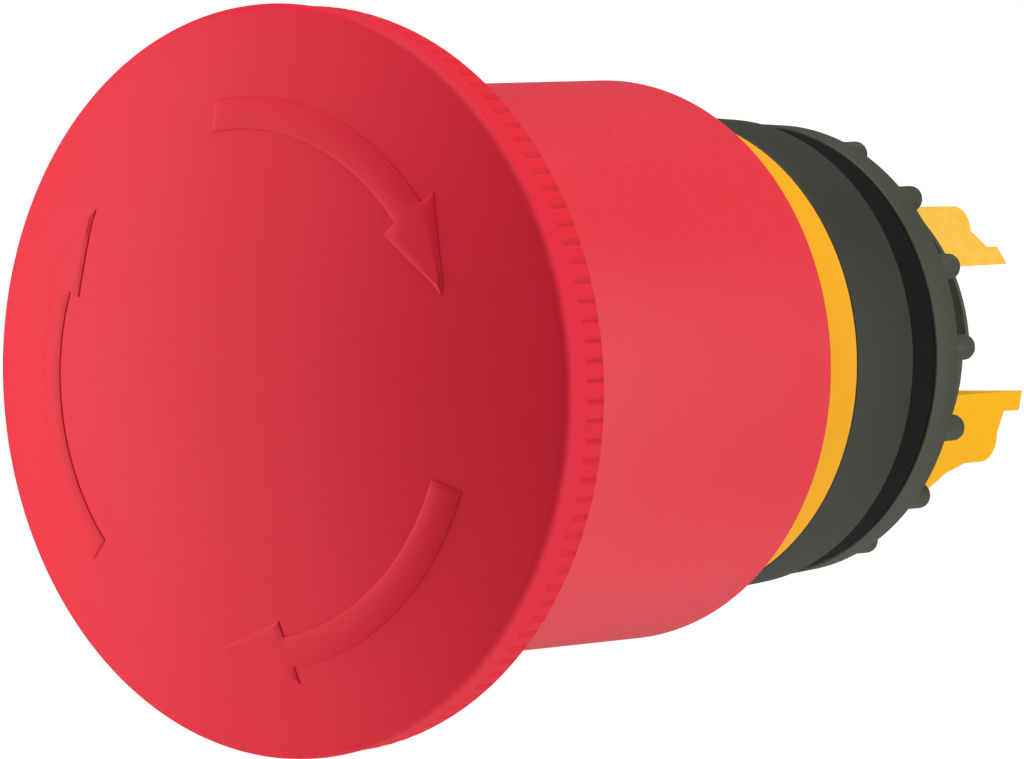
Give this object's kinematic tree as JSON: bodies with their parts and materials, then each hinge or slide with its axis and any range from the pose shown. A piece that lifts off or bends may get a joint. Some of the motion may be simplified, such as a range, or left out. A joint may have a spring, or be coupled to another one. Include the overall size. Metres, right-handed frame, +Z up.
{
  "type": "emergency stop button",
  "caption": "Emergency stop actuator: red mushroom head that is pushed in and turned to release, with a yellow ring, threaded barrel, ring nut and contact legs.",
  "frame": {"origin": "on the axis, in the plane of the panel face that the gasket seats on", "axes": "+Y along the axis from the mushroom head to the legs, the way the head is pushed; +Z up; +X to the right seen from the head"},
  "size_m": [0.0452, 0.073, 0.0452],
  "materials": {
    "red_moulding": "satin moulded plastic",
    "yellow_moulding": "satin moulded plastic",
    "black_moulding": "satin moulded plastic with a fine grain",
    "natural_moulding": "plain moulded acetal",
    "rubber": "matt black rubber",
    "steel": "bright spring steel"
  },
  "bodies": {
    "housing": {"threaded_bush": "black_moulding", "latch_sleeve": "black_moulding", "yellow_ring": "yellow_moulding", "bezel_collar": "black_moulding", "panel_gasket": "rubber", "stem_seal": "rubber", "wiper_seal": "rubber", "return_spring": "steel"},
    "carriage": {"plunger": "yellow_moulding", "latch_carrier": "natural_moulding", "spring_washer": "steel", "hub_clip": "steel", "latch_spring_right": "steel", "latch_spring_left": "steel"},
    "head": {"palm_cap": "red_moulding", "palm_skirt": "red_moulding", "release_cam": "natural_moulding", "torsion_spring": "steel"},
    "right_pin": {"latch_pin_right": "steel"},
    "left_pin": {"latch_pin_left": "steel"},
    "nut": {"ring_nut": "black_moulding"}
  },
  "joints": [
    {"name": "push", "type": "slide", "parent": "housing", "child": "carriage", "axis": [0, 1, 0], "range_m": [0, 0.005], "stiffness_N_per_m": 600, "springref_m": -0.004, "deforming": ["return_spring"]},
    {"name": "turn", "type": "hinge", "parent": "carriage", "child": "head", "pos_m": [0, -0.04, 0], "axis": [0, 1, 0], "range_deg": [0, 45], "stiffness_Nm_per_rad": 0.03, "springref_deg": -28.65, "deforming": ["torsion_spring"]},
    {"name": "right_pin_slide", "type": "slide", "parent": "carriage", "child": "right_pin", "axis": [1, 0, 0], "range_m": [0, 0.001], "deforming": ["latch_spring_right"]},
    {"name": "left_pin_slide", "type": "slide", "parent": "carriage", "child": "left_pin", "axis": [-1, 0, 0], "range_m": [0, 0.001], "deforming": ["latch_spring_left"]},
    {"name": "nut_turn", "type": "hinge", "parent": "housing", "child": "nut", "pos_m": [0, 0.0015, 0], "axis": [0, 1, 0], "continuous": true}
  ],
  "couplings": [
    {"joint": "right_pin_slide", "follows": "push", "ratio": 0.2},
    {"joint": "left_pin_slide", "follows": "push", "ratio": 0.2}
  ]
}
